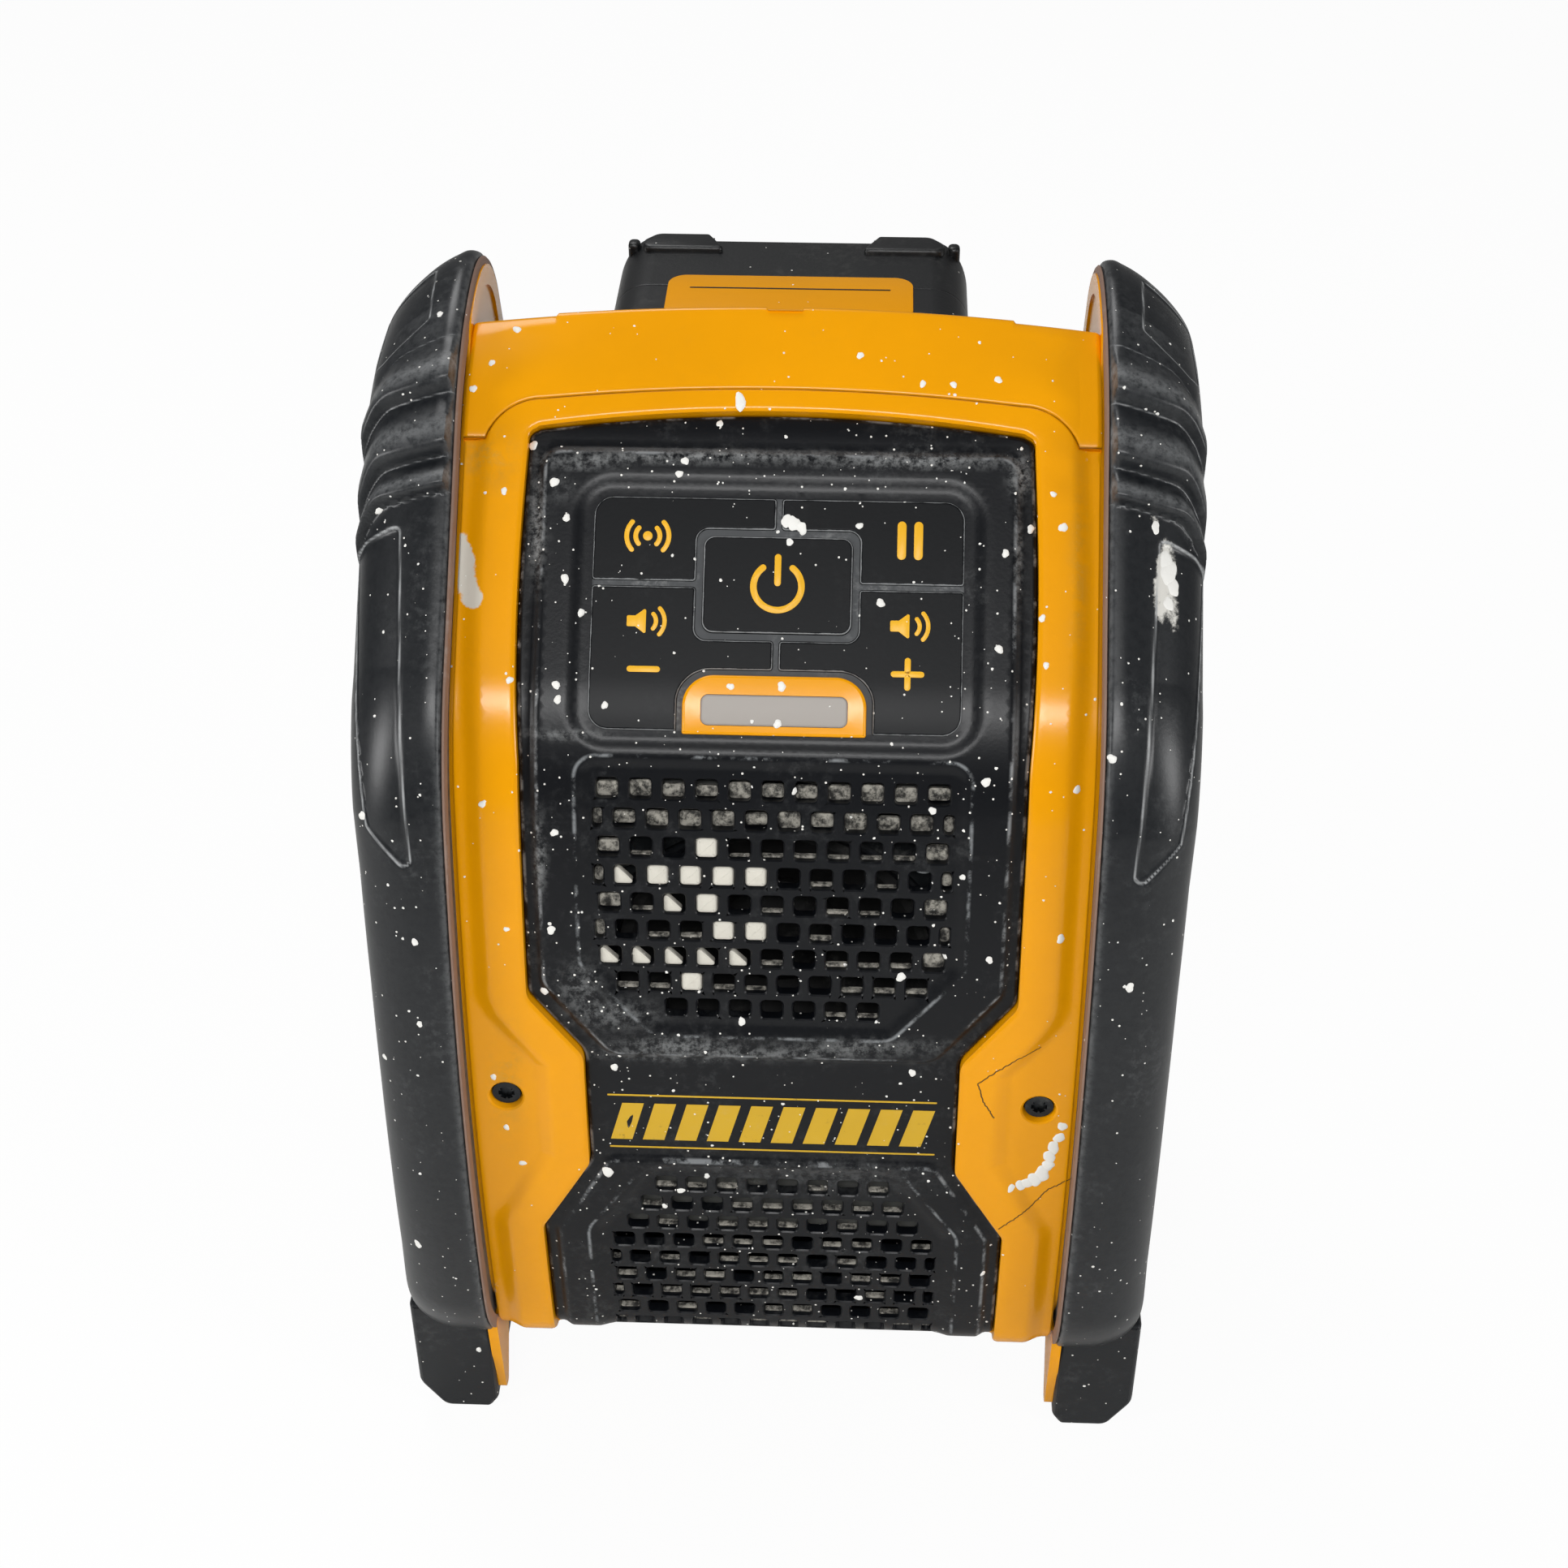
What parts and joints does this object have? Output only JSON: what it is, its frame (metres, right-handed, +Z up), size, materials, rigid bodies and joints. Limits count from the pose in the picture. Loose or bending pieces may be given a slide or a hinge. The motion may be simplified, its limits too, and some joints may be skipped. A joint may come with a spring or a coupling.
{
  "type": "jobsite speaker",
  "caption": "Battery-powered jobsite speaker: yellow frame, black perforated front with a sloping keypad, thick rubber side guards on feet, and a slide-on battery pack behind.",
  "frame": {"origin": "floor level under the middle of the speaker's box", "axes": "+X to the speaker's right as seen from the front, +Y to its rear, +Z up; the keypad and grilles face -Y"},
  "size_m": [0.169, 0.14, 0.2523],
  "materials": {
    "yellow_plastic": "moulded satin yellow, scuffed",
    "black_plastic": "moulded satin black, dusty",
    "key_plastic": "smooth satin black",
    "rubber": "soft matte black, worn",
    "lens_plastic": "frosted translucent",
    "circuit_board": "solder mask green",
    "zinc_steel": "zinc plated",
    "dark_steel": "blackened steel",
    "baffle_board": "moulded grey",
    "ferrite": "sintered ferrite",
    "copper": "bare copper",
    "paper_cone": "pressed paper, black",
    "woven_spider": "resin-dipped cloth",
    "aluminium": "extruded",
    "component_black": "sleeved",
    "cell_wrap": "shrink-wrapped steel can",
    "cell_frame_plastic": "natural plastic"
  },
  "bodies": {
    "body": {"front_frame": "yellow_plastic", "front_panel": "black_plastic", "top_cap": "yellow_plastic", "rear_housing": "black_plastic", "battery_bay": "black_plastic", "back_cover": "black_plastic", "side_frame_left": "yellow_plastic", "side_frame_right": "yellow_plastic", "guard_left": "rubber", "guard_right": "rubber", "foot_front_left": "rubber", "foot_front_right": "rubber", "foot_rear_left": "rubber", "foot_rear_right": "rubber", "indicator_bezel": "yellow_plastic", "indicator_lens": "lens_plastic", "indicator_led": "lens_plastic", "button_carrier": "black_plastic", "button_board": "circuit_board", "tact_switches": "black_plastic", "button_board_screws": "zinc_steel", "baffle": "baffle_board", "driver_gasket": "rubber", "driver_basket": "dark_steel", "driver_screws": "zinc_steel", "magnet_front_plate": "zinc_steel", "ring_magnet": "ferrite", "magnet_yoke": "zinc_steel", "surround": "rubber", "spider": "woven_spider", "main_board": "circuit_board", "main_board_screws": "zinc_steel", "amplifier_heatsink": "aluminium", "wireless_module": "zinc_steel", "board_capacitors": "component_black", "terminal_block": "black_plastic", "contact_blades": "copper", "aux_jack": "black_plastic", "front_screws": "dark_steel", "rear_screws": "dark_steel", "side_screws": "zinc_steel"},
    "power_button": {"power_button": "key_plastic"},
    "pairing_button": {"pairing_button": "key_plastic"},
    "pause_button": {"pause_button": "key_plastic"},
    "volume_down_button": {"volume_down_button": "key_plastic"},
    "volume_up_button": {"volume_up_button": "key_plastic"},
    "battery": {"battery_upper_case": "black_plastic", "battery_lower_case": "black_plastic", "battery_cells": "cell_wrap", "cell_frame": "cell_frame_plastic", "battery_board": "circuit_board", "battery_label": "yellow_plastic", "battery_screws": "zinc_steel"},
    "latch": {"battery_latch": "rubber"},
    "socket_cover": {"aux_cover": "rubber"},
    "cone": {"speaker_cone": "paper_cone", "dust_cap": "paper_cone", "voice_coil": "copper"}
  },
  "joints": [
    {"name": "power_press", "type": "slide", "parent": "body", "child": "power_button", "axis": [0, 0.7071, -0.7071], "range_m": [0, 0.001], "stiffness_N_per_m": 500},
    {"name": "pairing_press", "type": "slide", "parent": "body", "child": "pairing_button", "axis": [0, 0.7071, -0.7071], "range_m": [0, 0.001], "stiffness_N_per_m": 500},
    {"name": "pause_press", "type": "slide", "parent": "body", "child": "pause_button", "axis": [0, 0.7071, -0.7071], "range_m": [0, 0.001], "stiffness_N_per_m": 500},
    {"name": "volume_down_press", "type": "slide", "parent": "body", "child": "volume_down_button", "axis": [0, 0.7071, -0.7071], "range_m": [0, 0.001], "stiffness_N_per_m": 500},
    {"name": "volume_up_press", "type": "slide", "parent": "body", "child": "volume_up_button", "axis": [0, 0.7071, -0.7071], "range_m": [0, 0.001], "stiffness_N_per_m": 500},
    {"name": "battery_slide", "type": "slide", "parent": "body", "child": "battery", "axis": [0, 0, 1], "range_m": [0, 0.09]},
    {"name": "latch_press", "type": "slide", "parent": "battery", "child": "latch", "axis": [0, 1, 0], "range_m": [0, 0.003], "stiffness_N_per_m": 400},
    {"name": "socket_cover_swing", "type": "hinge", "parent": "body", "child": "socket_cover", "pos_m": [0.0194, 0.0619, 0.072], "axis": [0, 0, 1], "range_deg": [0, 110]},
    {"name": "cone_travel", "type": "slide", "parent": "body", "child": "cone", "axis": [0, -0.9936, 0.1132], "range_m": [-0.002, 0.002], "stiffness_N_per_m": 1500, "deforming": ["surround", "spider"]}
  ]
}
